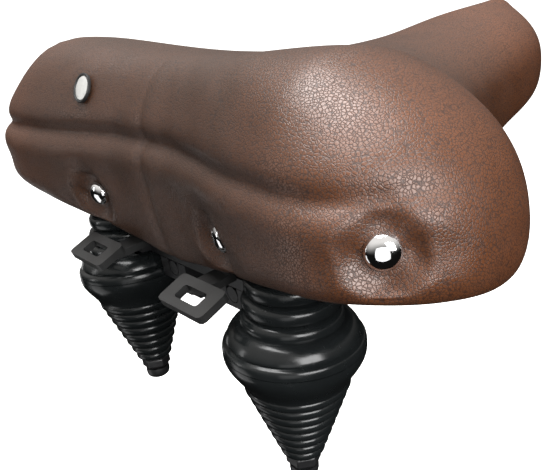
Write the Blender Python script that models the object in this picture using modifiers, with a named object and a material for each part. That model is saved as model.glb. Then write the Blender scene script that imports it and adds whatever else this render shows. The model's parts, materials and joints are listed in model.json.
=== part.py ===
"""A wide sprung bicycle saddle, in metres, +Y towards the nose, +X to the rider's right, +Z up.

The origin is midway between the two rails, in the middle of the stretch that a seatpost clamps.
The top (cover, foam, base shell and all that is fixed to them) tips on a pin at the nose, and two
conical drawbar springs at the back carry it: a long bolt hangs from each end of the rear yoke, and
the spring stands on the washer at the bolt's foot and pushes up against the top.
"""

import bisect
import functools
import math

import bmesh
import bpy
import numpy as np
from mathutils import Matrix, Vector

# ---------------------------------------------------------------- driving dimensions
SADDLE_WIDTH = 0.276          # across the two cheeks
NOSE_REACH = 0.1475           # from the clamp to the nose tip
TAIL_REACH = 0.1045           # from the clamp to the furthest point of the rear edge
GAP = 0.0003                  # left between pieces that touch
FOOT_GAP = 0.0008             # between the folded lip and what stands on it

COVER_THICKNESS = 0.0018
BASE_WALL = 0.0025
BASE_FLOOR_REAR = 0.046       # height of the base shell's underside over the springs
BASE_FLOOR_NOSE = 0.040       # and in the nose
LIP_REACH = 0.0002            # how far the folded cover reaches past the base shell's wall
CREASE_DEPTH = 0.003
DIMPLE_DEPTH = 0.0055
DIMPLE_FLAT = 0.0068          # half width of a dimple's floor
DIMPLE_RIM = 0.0115           # half width where a dimple starts

RIVET_HEAD_RADIUS = 0.0054
RIVET_HEAD_HEIGHT = 0.0031
RIVET_SHANK_RADIUS = 0.002
RIVET_WASHER_RADIUS = 0.0045
RIVET_WASHER_THICKNESS = 0.001
INNER_RIVET_HEADING = 34.0    # degrees round the rear edge from straight back
OUTER_RIVET_HEADING = 63.0
INNER_RIVET_HEIGHT = 0.035
OUTER_RIVET_HEIGHT = 0.050

RAIL_DIAMETER = 0.007
RAIL_SPACING = 0.044          # centre to centre in the clamp zone
RAIL_NOSE_SPACING = 0.014     # centre to centre in the nose bracket
CLAMP_ZONE = 0.080            # straight length of rail that a seatpost may grip

SPRING_BACK = 0.075           # from the clamp back to the springs
SPRING_SPACING = 0.118        # between the springs, at the boots' rims
SPRING_LEAN_IN = 3.4          # degrees, the feet towards the middle
SPRING_LEAN_BACK = 4.7        # degrees, the feet towards the rear
RIM_DROP = 0.008              # the boots' rims below the rails
BOOT_RADIUS = 0.026
BOOT_WALL = 0.0014
CONE_LENGTH = 0.0465
COLLAR_RADIUS = 0.0069
COLLAR_LENGTH = 0.006
END_NUT_RADIUS = 0.0056
END_NUT_LENGTH = 0.0055
COIL_WIRE = 0.0026
COIL_TURNS = 5.5
COIL_TOP_RADIUS = 0.0180
BOLT_RADIUS = 0.003
BOLT_HEAD_RADIUS = 0.0052
BOLT_HEAD_HEIGHT = 0.0035
NECK_BORE = 0.0128            # inner radius of the sleeve round the yoke's end
STEM_RADIUS = 0.0075          # the solid stem above it
NECK_RIBS = 3
RIB_PITCH = 0.00675
SLEEVE_WALL = 0.0022
SPRING_TRAVEL = 0.009         # how far the top can sink at the springs

YOKE_THICKNESS = 0.005
YOKE_WIDTH = 0.010
YOKE_FORWARD = 0.0047         # its middle stands this far in front of the eyes, clear of the sinking lip
YOKE_EYE_RADIUS = 0.0036
STRAP_LENGTH = 0.010          # along the rail
SCREW_RADIUS = 0.0015
SCREW_HEAD_RADIUS = 0.0026
SCREW_HEAD_HEIGHT = 0.0018

PIVOT_SETBACK = 0.0365        # from the nose tip back to the pivot pin
PIVOT_HEIGHT = 0.023
PIN_RADIUS = 0.003
PIVOT_CLEARANCE = 0.0001
BRACKET_WIDTH = 0.024
BRACKET_LENGTH = 0.022
BRACKET_HEIGHT = 0.012
LUG_THICKNESS = 0.0025

LOOP_WIDTH = 0.028
LOOP_LENGTH = 0.0138
LOOP_THICKNESS = 0.0032
LOOP_WINDOW = (0.0145, 0.0062)
LOOP_BORDER = 0.0036          # behind the window
LOOP_TILT = 18.0              # degrees
LOOP_INNER_EDGE = 0.0235
LOOP_HEADING = 22.0           # the loops follow the rear edge here
LOOP_OVERHANG = 0.0172
TONGUE_WIDTH = 0.010          # of the strip that joins a loop to the base shell's wall
TONGUE_THICKNESS = 0.003

BADGE_LENGTH = 0.013
BADGE_WIDTH = 0.0095
BADGE_PLACE = (-38.0, 46.0)   # heading, and angle down from the centre line
BADGE_THICKNESS = 0.0012

TURN_STEPS = 20               # facets round the turned rubber pieces
SMALL_STEPS = 12              # facets round small fasteners

# ---------------------------------------------------------------- the saddle's shape
# Stations round the plan, by heading from straight back (0) to the nose (180), about a hub.
# Each gives the plan radius, the height where the side is widest, the lower edge's height, where its
# section meets the centre line, how far the lower edge tucks in, and how far in the base's wall is.
HUB_Y = -0.025
NATURAL_WIDTH = 0.276
NATURAL_NOSE = 0.1475
NATURAL_TAIL = 0.1045
STATIONS = (
    # heading radius  widest  lower  centre  tuck    wall inset
    (0, 0.0620, 0.038, 0.0145, -0.055, 0.0050, 0.0085),
    (24, 0.0705, 0.039, 0.0180, -0.053, 0.0055, 0.0093),
    (36, 0.0845, 0.040, 0.0225, -0.050, 0.0060, 0.0095),
    (48, 0.1105, 0.041, 0.0290, -0.046, 0.0070, 0.0100),
    (58, 0.1370, 0.042, 0.0330, -0.042, 0.0080, 0.0112),
    (70, 0.1465, 0.041, 0.0300, -0.035, 0.0080, 0.0120),
    (82, 0.1374, 0.040, 0.023, -0.025, 0.0080, 0.0120),
    (96, 0.1145, 0.038, 0.019, -0.013, 0.0080, 0.0110),
    (112, 0.0928, 0.039, 0.017, 0.000, 0.0075, 0.0105),
    (130, 0.0850, 0.040, 0.016, 0.017, 0.0070, 0.0100),
    (146, 0.0915, 0.042, 0.017, 0.037, 0.0065, 0.0095),
    (158, 0.1140, 0.042, 0.021, 0.063, 0.0060, 0.0090),
    (168, 0.1490, 0.043, 0.026, 0.093, 0.0060, 0.0085),
    (180, 0.1725, 0.045, 0.034, 0.123, 0.0060, 0.0085),
)
# Heights of the top along the centre line, and how much the cheeks rise beside it at CHEEK_X.
CHEEK_X = 0.065
TOP_LINE = (
    # along   height  cheek rise
    (-0.100, 0.0936, 0.0040),
    (-0.075, 0.0928, 0.0080),
    (-0.045, 0.0867, 0.0085),
    (-0.010, 0.0777, 0.0043),
    (0.025, 0.0708, 0.0010),
    (0.065, 0.0675, -0.0014),
    (0.105, 0.0695, -0.0025),
    (0.135, 0.0701, -0.0027),
    (0.161, 0.0709, -0.0026),
)
ROUNDNESS = 2.3               # exponent of the superellipse from the centre line to the side
CREASE_HEIGHT = 0.064
CREASE_HALF_WIDTH = 0.005
CREASE_FADES = (66.0, 92.0)   # degrees


@functools.cache
def slopes_of(knots, values):
    return tuple(float(slope) for slope in np.gradient(values, knots))


def smooth_curve(knots, values, at):
    """A smooth curve through the knots, with slopes from each point's neighbours."""
    slopes = slopes_of(tuple(knots), tuple(values))
    index = min(max(bisect.bisect_right(knots, at) - 1, 0), len(knots) - 2)
    step = knots[index + 1] - knots[index]
    u = (at - knots[index]) / step
    return (
        (2 * u**3 - 3 * u**2 + 1) * values[index]
        + (u**3 - 2 * u**2 + u) * step * slopes[index]
        + (3 * u**2 - 2 * u**3) * values[index + 1]
        + (u**3 - u**2) * step * slopes[index + 1]
    )


def smooth_step(value, start, end):
    u = min(max((value - start) / (end - start), 0.0), 1.0)
    return u * u * (3 - 2 * u)


@functools.cache
def station(column, heading):
    """One of the stations' columns, at any heading from -180 to 180."""
    turned_to = abs((heading + 180.0) % 360.0 - 180.0)
    return smooth_curve([row[0] for row in STATIONS], [row[column] for row in STATIONS], turned_to)


def stretched(y):
    """Lengthways places follow the reach of the nose and of the tail."""
    return y * (NOSE_REACH / NATURAL_NOSE if y > 0 else TAIL_REACH / NATURAL_TAIL)


def outline(heading):
    radius = station(1, heading)
    angle = math.radians(heading)
    x = radius * math.sin(angle) * SADDLE_WIDTH / NATURAL_WIDTH
    return Vector((x, stretched(HUB_Y - radius * math.cos(angle)), 0))


def inward(heading):
    """The plan direction that points into the saddle, square to its outline."""
    along = outline(heading + 0.5) - outline(heading - 0.5)
    return Vector((-along.y, along.x, 0)).normalized()


def top_height(x, y):
    along = min(max(y, stretched(TOP_LINE[0][0])), stretched(TOP_LINE[-1][0]))
    knots = [stretched(row[0]) for row in TOP_LINE]
    height = smooth_curve(knots, [row[1] for row in TOP_LINE], along)
    rise = smooth_curve(knots, [row[2] for row in TOP_LINE], along)
    share = min(abs(x) / (CHEEK_X * SADDLE_WIDTH / NATURAL_WIDTH), 1.4)
    return height + rise * share**2


def plain_point(heading, angle):
    """The surface before creases: angle runs 0 at the centre line, 90 at the widest, 180 at the lower edge."""
    edge = outline(heading)
    centre = Vector((0, stretched(station(4, heading)), 0))
    widest = station(2, heading)
    if angle <= 90:
        turn = math.radians(angle)
        share = math.sin(turn) ** (2 / ROUNDNESS)
        fall = max(math.cos(turn), 0.0) ** (2 / ROUNDNESS)
        plan = centre.lerp(edge, share)
        return Vector((plan.x, plan.y, widest + (top_height(plan.x, plan.y) - widest) * fall))
    turn = math.radians(angle - 90)
    plan = edge + inward(heading) * station(5, heading) * (1 - math.cos(turn))
    lower = station(3, heading)
    return Vector((plan.x, plan.y, widest + (lower - widest) * math.sin(turn)))


def outward(heading, angle):
    """The surface's outward direction."""
    angle = min(max(angle, 2.0), 179.5)
    across = plain_point(heading + 0.4, angle) - plain_point(heading - 0.4, angle)
    down = plain_point(heading, min(angle + 0.5, 180.0)) - plain_point(heading, angle - 0.5)
    return down.cross(across).normalized()


def angle_at_height(heading, height):
    low, high = 20.0, 180.0
    for _ in range(40):
        middle = (low + high) / 2
        if plain_point(heading, middle).z > height:
            low = middle
        else:
            high = middle
    return low


def rivet_places():
    for side, word in ((-1, "left"), (1, "right")):
        yield f"{word}_inner_rivet", side * INNER_RIVET_HEADING, INNER_RIVET_HEIGHT
        yield f"{word}_outer_rivet", side * OUTER_RIVET_HEADING, OUTER_RIVET_HEIGHT


@functools.cache
def dimple_frames():
    """Each dimple's middle on the plain surface, with the directions along, up and out of it."""
    frames = []
    for _, where, height in rivet_places():
        angle = angle_at_height(where, height)
        out = outward(where, angle)
        along = Vector((0, 0, 1)).cross(out).normalized()
        frames.append((plain_point(where, angle), along, out.cross(along), out))
    return frames


def pressed(heading, point, out):
    """Where creases and dimples push a point of the plain surface: creases straight in, dimples their own way."""
    turned_to = abs((heading + 180.0) % 360.0 - 180.0)
    fade = 1 - smooth_step(turned_to, *CREASE_FADES)
    crease = CREASE_DEPTH * fade * math.exp(-(((point.z - CREASE_HEIGHT) / CREASE_HALF_WIDTH) ** 2))
    moved = point - out * crease
    for centre, along, up, away in dimple_frames():
        offset = point - centre
        squared = (offset.dot(along) ** 6 + offset.dot(up) ** 6 + (0.5 * offset.dot(away)) ** 6) ** (1 / 6)
        share = 1 - smooth_step(squared, DIMPLE_FLAT * 1.13, DIMPLE_RIM * 1.1)
        moved = moved - away * DIMPLE_DEPTH * share
    return moved


def skin_point(heading, angle, depth):
    """A point of the creased and dimpled surface, a depth below it."""
    out = outward(heading, angle)
    return pressed(heading, plain_point(heading, angle), out) - out * depth


# ---------------------------------------------------------------- Blender helpers
def start():
    for thing in list(bpy.data.objects):
        bpy.data.objects.remove(thing)
    saddle = bpy.data.collections.new("sprung_saddle")
    cutters = bpy.data.collections.new("cutters")
    bpy.context.scene.collection.children.link(saddle)
    bpy.context.scene.collection.children.link(cutters)
    return saddle, cutters


SADDLE, CUTTERS = start()

FINISHES = {
    # name: colour, roughness, metallic
    "leatherette": ((0.125, 0.050, 0.030), 0.45, 0.0),
    "foam": ((0.72, 0.66, 0.50), 0.90, 0.0),
    "shell_plastic": ((0.020, 0.020, 0.022), 0.50, 0.0),
    "loop_plastic": ((0.015, 0.015, 0.016), 0.40, 0.0),
    "boot_rubber": ((0.010, 0.010, 0.011), 0.30, 0.0),
    "chrome": ((0.85, 0.85, 0.87), 0.06, 1.0),
    "zinc_steel": ((0.55, 0.55, 0.56), 0.32, 1.0),
    "black_steel": ((0.025, 0.025, 0.027), 0.38, 0.6),
    "badge": ((0.30, 0.30, 0.31), 0.35, 0.8),
}


def material(name):
    made = bpy.data.materials.get(name)
    if made:
        return made
    colour, roughness, metallic = FINISHES[name]
    made = bpy.data.materials.new(name)
    made.use_nodes = True
    shader = made.node_tree.nodes["Principled BSDF"]
    shader.inputs["Base Color"].default_value = (*colour, 1)
    shader.inputs["Roughness"].default_value = roughness
    shader.inputs["Metallic"].default_value = metallic
    return made


def place(name, data, finish, parent=None, location=(0, 0, 0), rotation=(0, 0, 0)):
    thing = bpy.data.objects.new(name, data)
    SADDLE.objects.link(thing)
    thing.parent = parent
    thing.location = location
    thing.rotation_euler = rotation
    data.materials.append(material(finish))
    return thing


def mesh_from(shape, name):
    bmesh.ops.recalc_face_normals(shape, faces=shape.faces)
    mesh = bpy.data.meshes.new(name)
    shape.to_mesh(mesh)
    shape.free()
    return mesh


def box_shape(size, centre=(0, 0, 0)):
    shape = bmesh.new()
    bmesh.ops.create_cube(shape, size=1.0)
    bmesh.ops.scale(shape, verts=shape.verts, vec=size)
    bmesh.ops.translate(shape, verts=shape.verts, vec=centre)
    return shape


def round_corners(shape, radius):
    """Rounds a box's four upright edges."""
    upright = [edge for edge in shape.edges if abs((edge.verts[0].co - edge.verts[1].co).normalized().z) > 0.9]
    bmesh.ops.bevel(shape, geom=upright, offset=radius, segments=2, profile=0.5, affect="EDGES")
    return shape


def rod_shape(radius, length, segments=SMALL_STEPS, radius_top=None):
    """A rod or cone on Z, centred."""
    shape = bmesh.new()
    top = radius if radius_top is None else radius_top
    bmesh.ops.create_cone(
        shape, cap_ends=True, segments=segments, radius1=radius, radius2=top, depth=length
    )
    return shape


def turned(name, profile, finish, parent=None, location=(0, 0, 0), rotation=(0, 0, 0), steps=TURN_STEPS, ring=True):
    """A turned piece on its Z axis: (radius, height) points down the outside, then back up the inside."""
    mesh = bpy.data.meshes.new(name)
    points = [(radius, 0, height) for radius, height in profile]
    edges = [(i, i + 1) for i in range(len(points) - 1)]
    if ring:
        edges.append((len(points) - 1, 0))
    mesh.from_pydata(points, edges, [])
    thing = place(name, mesh, finish, parent, location, rotation)
    screw = thing.modifiers.new("turn", "SCREW")
    screw.steps = steps
    screw.render_steps = steps
    screw.use_merge_vertices = True
    screw.merge_threshold = 0.00001
    return thing


def cutter(name, shape, parent=None, location=(0, 0, 0), rotation=(0, 0, 0)):
    thing = bpy.data.objects.new(name, mesh_from(shape, name))
    CUTTERS.objects.link(thing)
    thing.parent = parent
    thing.location = location
    thing.rotation_euler = rotation
    thing.hide_render = True
    thing.display_type = "WIRE"
    return thing


def combine(thing, other, operation):
    step = thing.modifiers.new(f"{operation.lower()} {other.name}", "BOOLEAN")
    step.operation = operation
    step.object = other
    step.solver = "EXACT"


def smooth_faces(thing):
    thing.data.shade_smooth()
    thing.data.set_sharp_from_angle(angle=math.radians(35))


def frame_empty(name, location, rotation=(0, 0, 0)):
    empty = bpy.data.objects.new(name, None)
    SADDLE.objects.link(empty)
    empty.location = location
    empty.rotation_euler = rotation
    return empty


def facing(direction):
    """The rotation that turns +Z to a direction."""
    return Vector(direction).to_track_quat("Z", "Y").to_euler()


def screw_shape(length):
    """A screw on Z: its head stands above z = 0 and its shank below."""
    shape = rod_shape(SCREW_RADIUS, length, 8)
    bmesh.ops.translate(shape, verts=shape.verts, vec=(0, 0, -length / 2))
    return shape


def add_screw(name, length, location, direction, parent=None, finish="black_steel"):
    """A button-headed screw whose head bears on a face at the location."""
    half = SCREW_RADIUS
    profile = (
        (0, SCREW_HEAD_HEIGHT),
        (SCREW_HEAD_RADIUS * 0.6, SCREW_HEAD_HEIGHT),
        (SCREW_HEAD_RADIUS, SCREW_HEAD_HEIGHT * 0.45),
        (SCREW_HEAD_RADIUS, GAP),
        (half, GAP),
        (half, -length),
        (0, -length),
    )
    return turned(
        name, profile, finish, parent, location, facing(direction), steps=8, ring=False
    )


# ---------------------------------------------------------------- the padded top
@functools.cache
def columns():
    """Headings of the grid's columns: close together at the dimples, the same on both sides."""
    chosen = [10.0, 42.5, 47.5, 53.0, 74.0, 83.0, 93.0, 104.0, 117.0, 132.0, 146.0, 156.5, 165.0, 172.5]
    for heading in (INNER_RIVET_HEADING, OUTER_RIVET_HEADING):
        span = (outline(heading + 1) - outline(heading)).length
        for reach in (-DIMPLE_RIM, -DIMPLE_FLAT, 0.0, DIMPLE_FLAT, DIMPLE_RIM):
            chosen.append(heading + reach / span)
    return sorted([0.0, 180.0] + chosen + [-heading for heading in chosen])


@functools.cache
def row_angles(heading):
    """Angles of the grid's rows at one heading, from the centre line to the lower edge."""
    turned_to = abs(heading)
    inner, outer = INNER_RIVET_HEADING, OUTER_RIVET_HEADING
    share = min(max((turned_to - inner) / (outer - inner), 0.0), 1.0)
    rivet = INNER_RIVET_HEIGHT + (OUTER_RIVET_HEIGHT - INNER_RIVET_HEIGHT) * share
    lower = station(3, heading)
    crease = CREASE_HEIGHT - 0.02 * smooth_step(turned_to, 90.0, 150.0)
    rivet = rivet - 0.006 * smooth_step(turned_to, 90.0, 150.0)
    heights = [
        crease + CREASE_HALF_WIDTH * 1.4,
        crease,
        crease - CREASE_HALF_WIDTH * 1.4,
        rivet + DIMPLE_RIM,
        rivet + DIMPLE_FLAT,
        max(rivet - DIMPLE_FLAT, lower + 0.0012),
    ]
    marks = [angle_at_height(heading, height) for height in heights]
    tops = [marks[0] * share for share in (0.0, 0.3, 0.6, 0.85)]
    lowest = [marks[-1] + (180 - marks[-1]) * share for share in (0.6, 1.0)]
    angles = tops + marks + lowest
    for index in range(1, len(angles)):
        angles[index] = max(angles[index], angles[index - 1] + 0.8)
    angles = [min(angle, 180 - 0.6 * (len(angles) - 1 - i)) for i, angle in enumerate(angles)]
    return angles


def skin_rows(depth):
    """Rows of points a depth below the surface, from the centre line to the lower edge."""
    grid = [[skin_point(heading, angle, depth) for angle in row_angles(heading)] for heading in columns()]
    rows = [list(row) for row in zip(*grid)]
    for point in rows[0]:
        point.x = 0.0
    return rows


def inset_row(inset, height):
    """A row inside the outline: inset and height are functions of the heading."""
    row = []
    for heading in columns():
        plan = outline(heading) + inward(heading) * inset(heading)
        row.append(Vector((plan.x, plan.y, height(heading))))
    return row


def floor_height(y):
    share = smooth_step(y, 0.0, stretched(0.09))
    return BASE_FLOOR_REAR + (BASE_FLOOR_NOSE - BASE_FLOOR_REAR) * share


def wall_top(heading):
    """The base shell's wall rises at the outer rivets, so that their washers have a face to pull on."""
    turned_to = abs(heading)
    rise = smooth_step(turned_to, 34, 52) * (1 - smooth_step(turned_to, 78, 100))
    return floor_height(outline(heading).y) + 0.011 * rise


def floor_rows(lift, wall_inset):
    """Rows of the base shell's floor, from the wall's top to the centre line."""
    rows = []
    for share in (1.0, 0.78, 0.4, 0.0):
        row = []
        for heading in columns():
            edge = outline(heading) + inward(heading) * wall_inset(heading)
            centre = Vector((0, stretched(station(4, heading)), 0))
            plan = centre.lerp(edge, share)
            height = wall_top(heading) if share == 1.0 else floor_height(plan.y)
            row.append(Vector((plan.x, plan.y, height + lift)))
        rows.append(row)
    return rows


def closed_loft(name, rows, finish):
    """A closed solid whose rows start and end on the centre line or meet each other."""
    shape = bmesh.new()
    grid = [[shape.verts.new(point) for point in row] for row in rows]
    count = len(grid[0])
    for upper, lower in zip(grid[:-1], grid[1:]):
        for i in range(count):
            j = (i + 1) % count
            shape.faces.new((upper[i], upper[j], lower[j], lower[i]))
    bmesh.ops.remove_doubles(shape, verts=shape.verts, dist=0.00001)
    bmesh.ops.triangulate(shape, faces=shape.faces)
    thing = place(name, mesh_from(shape, name), finish)
    return thing


def lip_row(inset_extra, lift):
    return inset_row(
        lambda heading: station(6, heading) + BASE_WALL + inset_extra,
        lambda heading: station(3, heading) + lift,
    )


def make_cover():
    outer = skin_rows(0.0)
    inner = skin_rows(COVER_THICKNESS)
    rows = outer + [lip_row(LIP_REACH, 0.0), lip_row(LIP_REACH, COVER_THICKNESS)] + inner[::-1]
    cover = closed_loft("cover", rows, "leatherette")
    for face in cover.data.polygons:
        face.use_smooth = True
    return cover


def make_foam():
    skin = skin_rows(COVER_THICKNESS + GAP)

    def beside_wall(heading):
        return station(6, heading) - GAP

    foot = inset_row(beside_wall, lambda heading: station(3, heading) + COVER_THICKNESS + FOOT_GAP)
    floor = floor_rows(BASE_WALL + GAP, beside_wall)
    return closed_loft("foam_pad", skin + [foot] + floor, "foam")


def make_base_shell():
    def outside(heading):
        return station(6, heading)

    def inside(heading):
        return station(6, heading) + BASE_WALL

    foot_height = COVER_THICKNESS + FOOT_GAP
    outer_foot = inset_row(outside, lambda heading: station(3, heading) + foot_height)
    inner_foot = inset_row(inside, lambda heading: station(3, heading) + foot_height)
    upper = floor_rows(BASE_WALL, outside)[::-1]
    under = floor_rows(0.0, inside)
    return closed_loft("base_shell", upper + [outer_foot, inner_foot] + under, "shell_plastic")


def rivet_frame(heading, height):
    """A rivet's seat on the dimple's floor, and the direction that it faces."""
    angle = angle_at_height(heading, height)
    direction = outward(heading, angle)
    centre = plain_point(heading, angle)
    return centre - direction * DIMPLE_DEPTH, direction


def wall_distance(heading, seat, direction):
    """How far behind a rivet's seat the base shell's wall starts, along the rivet."""
    face = outline(heading) + inward(heading) * station(6, heading)
    square = inward(heading)
    return (face - seat).dot(square) / (-direction).dot(square)


def make_rivets(skins):
    for name, heading, height in rivet_places():
        seat, direction = rivet_frame(heading, height)
        to_wall = wall_distance(heading, seat, direction)
        tilt = abs(direction.dot(inward(heading)))
        slack = RIVET_WASHER_RADIUS * math.sqrt(max(1 - tilt**2, 0.0)) / tilt
        back = to_wall + BASE_WALL / tilt + slack + FOOT_GAP
        length = back + RIVET_WASHER_THICKNESS + GAP
        head = (
            (0, RIVET_HEAD_HEIGHT + GAP),
            (RIVET_HEAD_RADIUS * 0.45, RIVET_HEAD_HEIGHT * 0.90 + GAP),
            (RIVET_HEAD_RADIUS * 0.80, RIVET_HEAD_HEIGHT * 0.56 + GAP),
            (RIVET_HEAD_RADIUS, RIVET_HEAD_HEIGHT * 0.12 + GAP),
            (RIVET_HEAD_RADIUS, GAP),
            (RIVET_SHANK_RADIUS, GAP),
            (RIVET_SHANK_RADIUS, -length),
            (0, -length),
        )
        turned(name, head, "chrome", None, seat, facing(direction), steps=16, ring=False)
        washer = (
            (RIVET_WASHER_RADIUS, 0),
            (RIVET_WASHER_RADIUS, -RIVET_WASHER_THICKNESS),
            (RIVET_SHANK_RADIUS + GAP, -RIVET_WASHER_THICKNESS),
            (RIVET_SHANK_RADIUS + GAP, 0),
        )
        turned(
            f"{name}_washer",
            washer,
            "zinc_steel",
            None,
            seat - direction * back,
            facing(direction),
            steps=SMALL_STEPS,
        )
        hole = rod_shape(RIVET_SHANK_RADIUS + 2 * GAP, 2.4 * length, SMALL_STEPS)
        drill = cutter(f"{name}_hole", hole, None, seat - direction * length, facing(direction))
        for skin in skins:
            combine(skin, drill, "DIFFERENCE")


def make_badge():
    """A plain oval badge on the left of the rear, lying on the cover."""
    heading, angle = BADGE_PLACE
    point = skin_point(heading, angle, -GAP)
    direction = outward(heading, angle)
    shape = rod_shape(0.5, BADGE_THICKNESS, 20)
    bmesh.ops.scale(shape, verts=shape.verts, vec=(BADGE_WIDTH, BADGE_LENGTH, 1))
    sag = 0.0006
    return place(
        "badge",
        mesh_from(shape, "badge"),
        "badge",
        None,
        point + direction * (BADGE_THICKNESS / 2 + sag),
        facing(direction),
    )


# ---------------------------------------------------------------- the springs
RIM_HEIGHT = -RIM_DROP
YOKE_UNDER = RAIL_DIAMETER / 2 + GAP                 # the yoke lies on the rails
YOKE_LEVEL = YOKE_UNDER + YOKE_THICKNESS / 2
YOKE_LOCAL = YOKE_LEVEL - RIM_HEIGHT                 # its height above a boot's rim
DOME_TOP = YOKE_LOCAL - YOKE_THICKNESS / 2 - 0.0012
SEAT_TOP = DOME_TOP - 0.0028
SEAT_THICKNESS = 0.0022
BOLT_WASHER_THICKNESS = 0.0015
BOLT_TOP = YOKE_LOCAL + YOKE_THICKNESS / 2 + 2 * GAP + BOLT_WASHER_THICKNESS + BOLT_HEAD_HEIGHT
NECK_TOP = BOLT_TOP + SPRING_TRAVEL + 0.0016
STEM_TOP = BASE_FLOOR_REAR - RIM_HEIGHT + 0.004
FOOT = -CONE_LENGTH


def lean(side):
    """The turn of a spring's axis: its foot leans in and back."""
    return (-math.radians(SPRING_LEAN_BACK), side * math.radians(SPRING_LEAN_IN), 0)


def make_sleeve(word, side, axis):
    """The ribbed neck round the yoke's end, slotted for it, and the stem that holds it to the base shell."""
    outer = NECK_BORE + SLEEVE_WALL
    bottom = SEAT_TOP + GAP
    ribs = []
    for i in range(NECK_RIBS):
        height = SEAT_TOP + 0.0037 + RIB_PITCH * (NECK_RIBS - 1 - i)
        swell = 0.0010 + 0.00125 * i
        ribs += [(outer, height + 0.0026), (outer + swell, height), (outer, height - 0.0026)]
    profile = (
        [(0, STEM_TOP), (STEM_RADIUS, STEM_TOP), (STEM_RADIUS, NECK_TOP + 0.0018)]
        + [(STEM_RADIUS + 0.0023, NECK_TOP + 0.0006), (outer, NECK_TOP - 0.0055)]
        + ribs
        + [(outer, bottom), (NECK_BORE, bottom), (NECK_BORE, NECK_TOP - 0.0065)]
        + [(STEM_RADIUS + 0.0008, NECK_TOP - 0.0008), (0, NECK_TOP - 0.0008)]
    )
    sleeve = turned(f"{word}_spring_sleeve", profile, "boot_rubber", axis, ring=False)
    under = BASE_FLOOR_REAR - GAP
    head = axis_point(side, under - RIM_HEIGHT)
    for word_place, dx, dy in (("inner", -side, 0), ("front", 0, 1)):
        reach = STEM_RADIUS + 0.010
        middle = reach / 2
        size = (reach if dx else 0.009, reach if dy else 0.009, 0.003)
        shape = box_shape(size, (head.x + dx * middle, head.y + dy * middle, under - 0.0015))
        combine(sleeve, cutter(f"{word}_{word_place}_lug", shape), "UNION")
        where = (head.x + dx * (reach - 0.0045), head.y + dy * (reach - 0.0045), under - 0.003)
        hole = cutter(f"{word}_{word_place}_lug_hole", rod_shape(SCREW_RADIUS + GAP, 0.02, 8), None, where)
        combine(sleeve, hole, "DIFFERENCE")
        combine(bpy.data.objects["base_shell"], hole, "DIFFERENCE")
        length = 0.003 + GAP + BASE_WALL
        add_screw(f"{word}_sleeve_screw_{word_place}", length, where, (0, 0, -1))
    spot = (side * SPRING_SPACING / 2, -SPRING_BACK, under)
    above = cutter(f"{word}_sleeve_top", box_shape((0.08, 0.08, 0.04), (0, 0, 0.02)), None, spot)
    combine(sleeve, above, "DIFFERENCE")
    lip_front = max(
        (outline(heading) + inward(heading) * (station(6, heading) + BASE_WALL + LIP_REACH)).y
        for heading in range(33, 54, 3)
    )
    notch_low = station(3, 28.0) - FOOT_GAP - GAP
    notch = box_shape((0.05, 0.05, under - notch_low + 0.01), (0, -0.025, (under + notch_low) / 2 + 0.005))
    notch_at = (side * SPRING_SPACING / 2, lip_front + FOOT_GAP, 0)
    combine(sleeve, cutter(f"{word}_lip_notch", notch, None, notch_at), "DIFFERENCE")
    slot_low = YOKE_LOCAL - YOKE_THICKNESS / 2 - 0.0012
    slot_high = YOKE_LOCAL + YOKE_THICKNESS / 2 + SPRING_TRAVEL + 0.002
    room = box_shape(
        (0.03, YOKE_WIDTH + 0.004, slot_high - slot_low),
        (-side * 0.020, 0, (slot_high + slot_low) / 2),
    )
    combine(sleeve, cutter(f"{word}_slot", room, axis), "DIFFERENCE")
    smooth_faces(sleeve)


def axis_point(side, height):
    """A point of a spring's axis, that far above the boot's rim."""
    turn = Matrix.Rotation(math.radians(SPRING_LEAN_IN) * side, 3, "Y")
    tip = Matrix.Rotation(-math.radians(SPRING_LEAN_BACK), 3, "X")
    base = Vector((side * SPRING_SPACING / 2, -SPRING_BACK, RIM_HEIGHT))
    return base + turn @ tip @ Vector((0, 0, height))


def make_dome(word, axis):
    outer = NECK_BORE + SLEEVE_WALL + 0.0030
    inner = outer - 0.0012
    profile = (
        (outer, DOME_TOP),
        (BOOT_RADIUS - 0.0035, DOME_TOP - 0.0032),
        (BOOT_RADIUS - 0.0012, DOME_TOP - 0.0068),
        (BOOT_RADIUS, 0.0016),
        (BOOT_RADIUS, GAP),
        (BOOT_RADIUS - BOOT_WALL, GAP),
        (BOOT_RADIUS - BOOT_WALL - 0.001, DOME_TOP - 0.0075),
        (inner, DOME_TOP - 0.0028),
    )
    smooth_faces(turned(f"{word}_boot_dome", profile, "boot_rubber", axis))


def make_seat(word, axis):
    """The steel disc that the coil pushes up, clamped between the dome and the sleeve."""
    rim = NECK_BORE + SLEEVE_WALL + 0.0004
    bore = BOLT_RADIUS + 0.0025
    profile = (
        (rim, SEAT_TOP),
        (rim, SEAT_TOP - SEAT_THICKNESS),
        (bore, SEAT_TOP - SEAT_THICKNESS),
        (bore, SEAT_TOP),
    )
    turned(f"{word}_spring_seat", profile, "zinc_steel", axis)


def make_bumper(word, axis):
    """The rubber ring that meets the yoke when the springs push the top back up."""
    outer, inner = 0.0095, BOLT_RADIUS + 0.003
    top = YOKE_LOCAL - YOKE_THICKNESS / 2 - GAP
    bottom = SEAT_TOP + GAP
    profile = ((outer, top), (outer, bottom), (inner, bottom), (inner, top))
    turned(f"{word}_rebound_ring", profile, "boot_rubber", axis, steps=SMALL_STEPS)


CONE_SHOULDER = -0.0125                              # where the stepped part of the cone starts
CONE_FIRST_RING = BOOT_RADIUS - 0.0062
CONE_LAST_RING = COLLAR_RADIUS + 0.0014


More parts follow.
